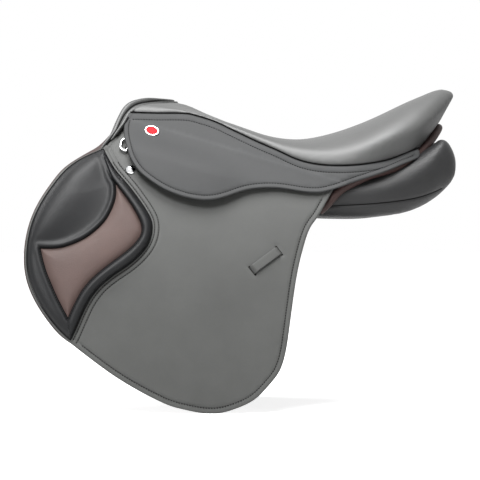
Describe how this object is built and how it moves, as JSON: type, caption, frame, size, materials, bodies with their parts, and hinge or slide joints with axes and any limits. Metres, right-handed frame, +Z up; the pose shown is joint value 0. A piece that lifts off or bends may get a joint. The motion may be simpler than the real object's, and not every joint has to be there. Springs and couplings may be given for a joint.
{
  "type": "english saddle",
  "caption": "Close-contact jumping saddle: cut-back head, deep seat, forward flaps with knee pads, skirts over stirrup bars, girth straps and stuffed panels.",
  "frame": {"origin": "on the centre plane, midway between the foremost and rearmost points, level with the bottom of the flaps", "axes": "+X towards the cantle, -Y the near (left) side, +Z up"},
  "size_m": [0.6175, 0.3746, 0.4577],
  "materials": {
    "black_leather": "smooth fine-grained black bridle leather with a soft sheen",
    "seat_leather": "smooth black seat leather, slightly polished by use",
    "welt_leather": "black leather rolled over a cord",
    "pad_leather": "soft black leather over foam, with black stitching",
    "panel_leather": "grained black panel leather",
    "strap_leather": "thick black strap leather",
    "lining_leather": "dark brown undyed-back leather",
    "brown_leather": "pebbled dark brown leather",
    "tree_moulding": "moulded glass-filled plastic",
    "latex_foam": "open latex foam",
    "webbing": "woven webbing",
    "steel": "forged steel",
    "chrome": "bright nickel plate",
    "badge_enamel": "plain oval button with a bright rim"
  },
  "bodies": {
    "saddle": {"tree": "tree_moulding", "gullet_plate": "steel", "gullet_screw_left": "steel", "gullet_screw_right": "steel", "ground_web": "webbing", "seat_foam": "latex_foam", "seat_cover": "seat_leather", "head_welt_front": "welt_leather", "head_welt_rear": "welt_leather", "rear_facing": "brown_leather", "gullet_lining": "panel_leather", "panel_left": "panel_leather", "panel_right": "panel_leather", "sweat_flap_left": "lining_leather", "sweat_flap_right": "lining_leather", "knee_roll_left": "pad_leather", "knee_roll_right": "pad_leather", "thigh_block_left": "pad_leather", "thigh_block_right": "pad_leather", "girth_web_left": "webbing", "girth_web_right": "webbing", "flap_head_left": "black_leather", "flap_head_right": "black_leather", "skirt_head_left": "black_leather", "skirt_head_right": "black_leather", "stirrup_bar_left": "steel", "stirrup_bar_right": "steel"},
    "left_flap_group": {"flap_left": "black_leather", "knee_pad_left": "pad_leather", "knee_insert_left": "brown_leather", "flap_keeper_left": "strap_leather", "flap_stud_left": "chrome", "dee_staple_left": "black_leather"},
    "left_skirt_group": {"skirt_left": "black_leather", "badge_left": "badge_enamel"},
    "left_dee": {"dee_left": "chrome"},
    "left_bar_catch": {"bar_catch_left": "steel"},
    "left_front_girth_strap": {"girth_strap_front_left": "strap_leather"},
    "left_middle_girth_strap": {"girth_strap_middle_left": "strap_leather"},
    "left_rear_girth_strap": {"girth_strap_rear_left": "strap_leather"},
    "left_buckle_guard": {"buckle_guard_left": "strap_leather"},
    "right_flap_group": {"flap_right": "black_leather", "knee_pad_right": "pad_leather", "knee_insert_right": "brown_leather", "flap_keeper_right": "strap_leather", "flap_stud_right": "chrome", "dee_staple_right": "black_leather"},
    "right_skirt_group": {"skirt_right": "black_leather", "badge_right": "badge_enamel"},
    "right_dee": {"dee_right": "chrome"},
    "right_bar_catch": {"bar_catch_right": "steel"},
    "right_front_girth_strap": {"girth_strap_front_right": "strap_leather"},
    "right_middle_girth_strap": {"girth_strap_middle_right": "strap_leather"},
    "right_rear_girth_strap": {"girth_strap_rear_right": "strap_leather"},
    "right_buckle_guard": {"buckle_guard_right": "strap_leather"}
  },
  "joints": [
    {"name": "left_flap_hinge", "type": "hinge", "parent": "saddle", "child": "left_flap_group", "pos_m": [-0.013, -0.09662, 0.368], "axis": [-0.9351, 0.2094, 0.2859], "range_deg": [0, 55]},
    {"name": "left_skirt_hinge", "type": "hinge", "parent": "left_flap_group", "child": "left_skirt_group", "pos_m": [-0.013, -0.09662, 0.368], "axis": [-0.9351, 0.2094, 0.2859], "range_deg": [0, 30]},
    {"name": "left_dee_hinge", "type": "hinge", "parent": "left_flap_group", "child": "left_dee", "pos_m": [-0.17293, -0.08286, 0.38309], "axis": [0.144, 0.5401, 0.8292], "range_deg": [0, 60]},
    {"name": "left_bar_catch_hinge", "type": "hinge", "parent": "saddle", "child": "left_bar_catch", "pos_m": [-0.074, -0.09844, 0.358], "axis": [0, -1, 0], "range_deg": [0, 30]},
    {"name": "left_front_girth_strap_hinge", "type": "hinge", "parent": "saddle", "child": "left_front_girth_strap", "pos_m": [-0.092, -0.09303, 0.338], "axis": [-1, 0, 0], "range_deg": [0, 27.5]},
    {"name": "left_middle_girth_strap_hinge", "type": "hinge", "parent": "saddle", "child": "left_middle_girth_strap", "pos_m": [-0.058, -0.09365, 0.338], "axis": [-1, 0, 0], "range_deg": [0, 27.5]},
    {"name": "left_rear_girth_strap_hinge", "type": "hinge", "parent": "saddle", "child": "left_rear_girth_strap", "pos_m": [-0.024, -0.09465, 0.338], "axis": [-1, 0, 0], "range_deg": [0, 27.5]},
    {"name": "left_buckle_guard_hinge", "type": "hinge", "parent": "saddle", "child": "left_buckle_guard", "pos_m": [-0.058, -0.09365, 0.338], "axis": [-1, 0, 0], "range_deg": [0, 38.5]},
    {"name": "right_flap_hinge", "type": "hinge", "parent": "saddle", "child": "right_flap_group", "pos_m": [-0.013, 0.09662, 0.368], "axis": [0.9351, 0.2094, -0.2859], "range_deg": [0, 55]},
    {"name": "right_skirt_hinge", "type": "hinge", "parent": "right_flap_group", "child": "right_skirt_group", "pos_m": [-0.013, 0.09662, 0.368], "axis": [0.9351, 0.2094, -0.2859], "range_deg": [0, 30]},
    {"name": "right_dee_hinge", "type": "hinge", "parent": "right_flap_group", "child": "right_dee", "pos_m": [-0.17293, 0.08286, 0.38309], "axis": [-0.144, 0.5401, -0.8292], "range_deg": [0, 60]},
    {"name": "right_bar_catch_hinge", "type": "hinge", "parent": "saddle", "child": "right_bar_catch", "pos_m": [-0.074, 0.09844, 0.358], "axis": [0, -1, 0], "range_deg": [0, 30]},
    {"name": "right_front_girth_strap_hinge", "type": "hinge", "parent": "saddle", "child": "right_front_girth_strap", "pos_m": [-0.092, 0.09303, 0.338], "axis": [1, 0, 0], "range_deg": [0, 27.5]},
    {"name": "right_middle_girth_strap_hinge", "type": "hinge", "parent": "saddle", "child": "right_middle_girth_strap", "pos_m": [-0.058, 0.09365, 0.338], "axis": [1, 0, 0], "range_deg": [0, 27.5]},
    {"name": "right_rear_girth_strap_hinge", "type": "hinge", "parent": "saddle", "child": "right_rear_girth_strap", "pos_m": [-0.024, 0.09465, 0.338], "axis": [1, 0, 0], "range_deg": [0, 27.5]},
    {"name": "right_buckle_guard_hinge", "type": "hinge", "parent": "saddle", "child": "right_buckle_guard", "pos_m": [-0.058, 0.09365, 0.338], "axis": [1, 0, 0], "range_deg": [0, 38.5]}
  ],
  "couplings": [
    {"joint": "left_front_girth_strap_hinge", "follows": "left_flap_hinge", "ratio": 0.5},
    {"joint": "left_middle_girth_strap_hinge", "follows": "left_flap_hinge", "ratio": 0.5},
    {"joint": "left_rear_girth_strap_hinge", "follows": "left_flap_hinge", "ratio": 0.5},
    {"joint": "left_buckle_guard_hinge", "follows": "left_flap_hinge", "ratio": 0.7},
    {"joint": "right_front_girth_strap_hinge", "follows": "right_flap_hinge", "ratio": 0.5},
    {"joint": "right_middle_girth_strap_hinge", "follows": "right_flap_hinge", "ratio": 0.5},
    {"joint": "right_rear_girth_strap_hinge", "follows": "right_flap_hinge", "ratio": 0.5},
    {"joint": "right_buckle_guard_hinge", "follows": "right_flap_hinge", "ratio": 0.7}
  ]
}
